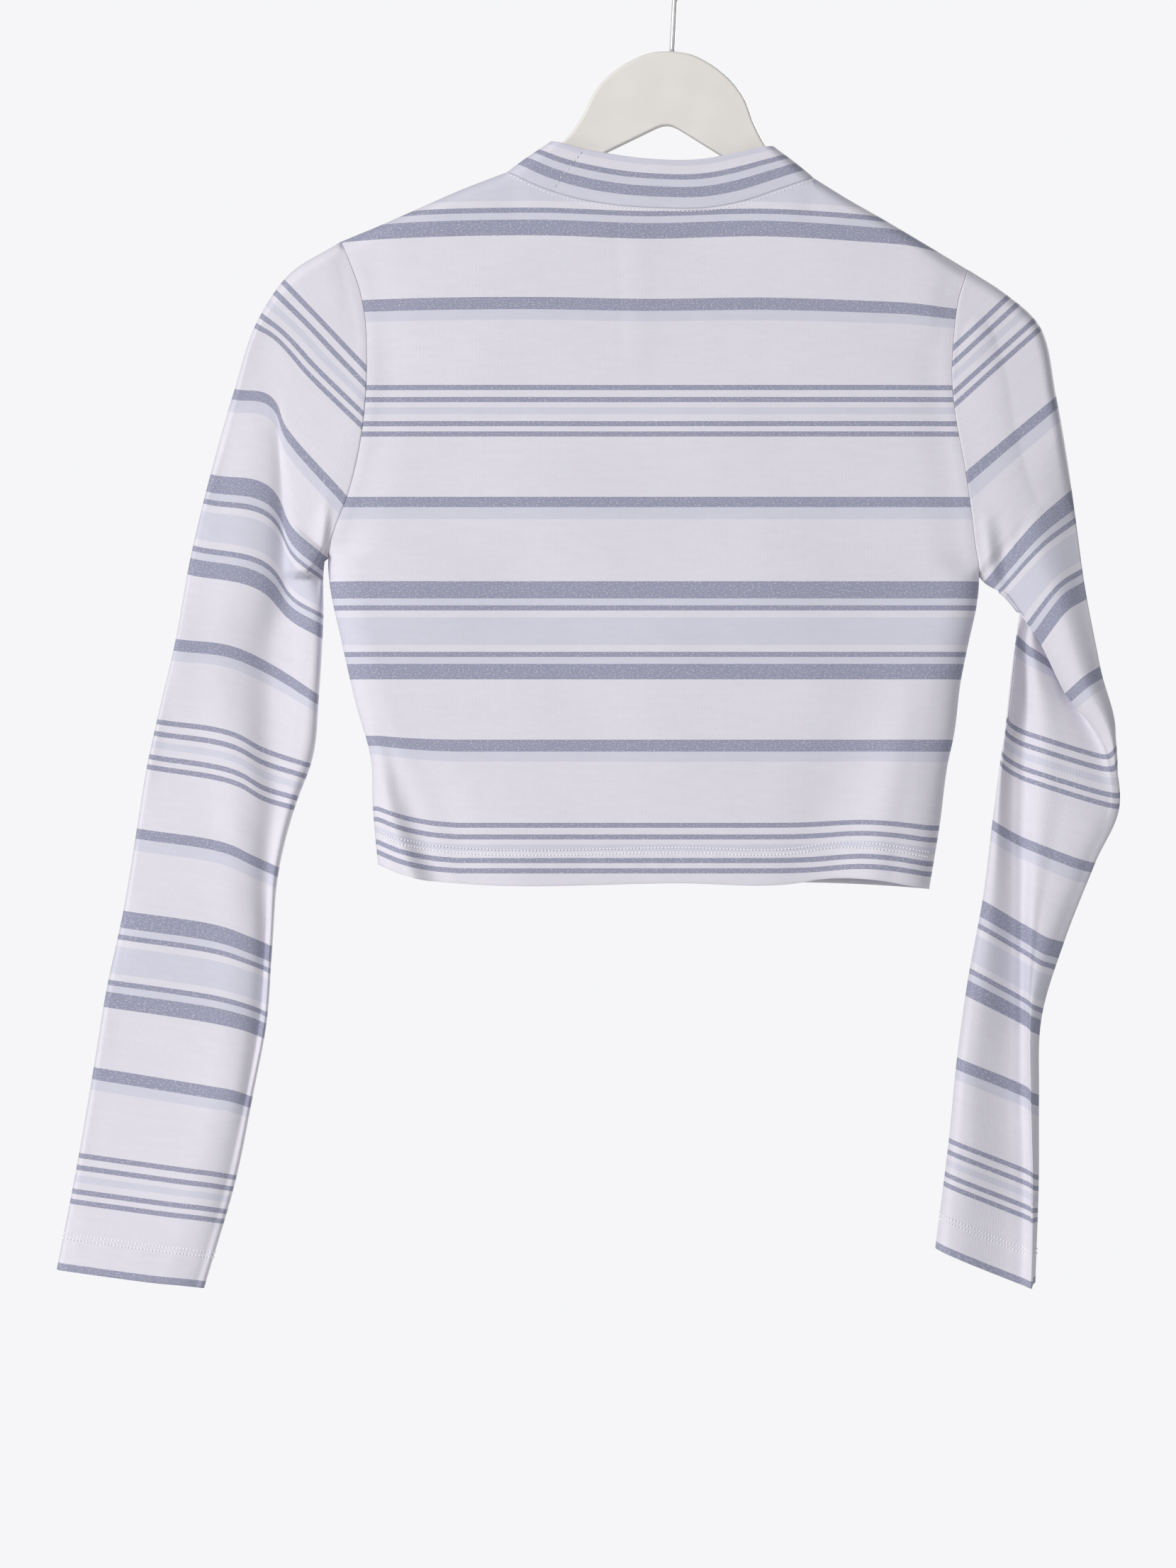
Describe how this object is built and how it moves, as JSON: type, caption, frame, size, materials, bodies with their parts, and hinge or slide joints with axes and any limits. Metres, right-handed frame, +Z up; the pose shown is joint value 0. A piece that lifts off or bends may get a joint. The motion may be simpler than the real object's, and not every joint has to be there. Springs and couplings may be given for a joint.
{
  "type": "crop top on a clothes hanger",
  "caption": "Long-sleeved striped jersey crop top with a stand collar, hanging flat on a plain flat hanger with a wire hook.",
  "frame": {"origin": "top of the inside of the hanger's hook, where a rod carries it", "axes": "+Z up; -Y is the side the garment's back faces; +X towards the wearer's right sleeve"},
  "size_m": [0.6219, 0.0352, 0.795],
  "materials": {
    "jersey": "soft matt single jersey, cross stripes in white, slate and pale blue",
    "hanger_body": "smooth off-white, satin",
    "hook_wire": "round wire, painted white"
  },
  "bodies": {
    "root": {"back": "jersey", "front": "jersey", "collar": "jersey", "sleeve_left": "jersey", "sleeve_right": "jersey", "hanger": "hanger_body", "hanger_hook": "hook_wire"}
  },
  "joints": []
}
